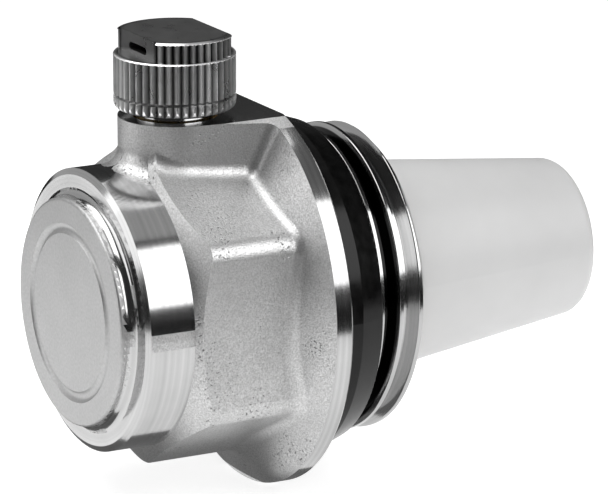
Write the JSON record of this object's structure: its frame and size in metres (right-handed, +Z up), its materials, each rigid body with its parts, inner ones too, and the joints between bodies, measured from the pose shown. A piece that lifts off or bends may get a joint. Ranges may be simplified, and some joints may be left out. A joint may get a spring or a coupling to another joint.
{
  "type": "radiator air vent",
  "caption": "Radiator end plug with an automatic float air vent: chromed hexagon body, flange with seal ring, parallel pipe thread, plastic float on a hinged lever and a knurled screw cap.",
  "frame": {"origin": "on the thread axis, in the flange's rear sealing face that the seal ring lies against", "axes": "+Y along the thread, into the radiator; +Z up along the vent cap; +X to the side, so that the closed front faces -Y"},
  "size_m": [0.042, 0.0597, 0.05],
  "materials": {
    "body_chrome": "satin",
    "cap_chrome": "polished",
    "nozzle_nickel": "polished",
    "spring_steel": "satin",
    "seal_rubber": "matte",
    "float_plastic": "satin",
    "lever_plastic": "satin"
  },
  "bodies": {
    "body": {"vent_body": "body_chrome", "flange_seal_ring": "seal_rubber", "valve_nozzle": "nozzle_nickel", "nozzle_seal_ring": "seal_rubber", "cap_stop_ring": "spring_steel", "hinge_bracket": "spring_steel", "hinge_pin": "spring_steel", "pin_clip": "spring_steel"},
    "float": {"float_lever": "lever_plastic", "shutter_pad": "seal_rubber", "float_base": "float_plastic", "float_shell": "float_plastic"},
    "cap_seal": {"cap_seal_disc": "seal_rubber"},
    "cap": {"vent_cap": "cap_chrome"}
  },
  "joints": [
    {"name": "float_drop", "type": "hinge", "parent": "body", "child": "float", "pos_m": [0, -0.0152, 0.0086], "axis": [-1, 0, 0], "range_deg": [0, 4.5]},
    {"name": "cap_lift", "type": "slide", "parent": "body", "child": "cap_seal", "axis": [0, 0, 1], "range_m": [0, 0.0015]},
    {"name": "cap_turn", "type": "hinge", "parent": "cap_seal", "child": "cap", "pos_m": [0, -0.00995, 0.025], "axis": [0, 0, 1], "range_deg": [0, 540]}
  ],
  "couplings": [
    {"joint": "cap_lift", "follows": "cap_turn", "m_per_rad": 0.00015915}
  ]
}
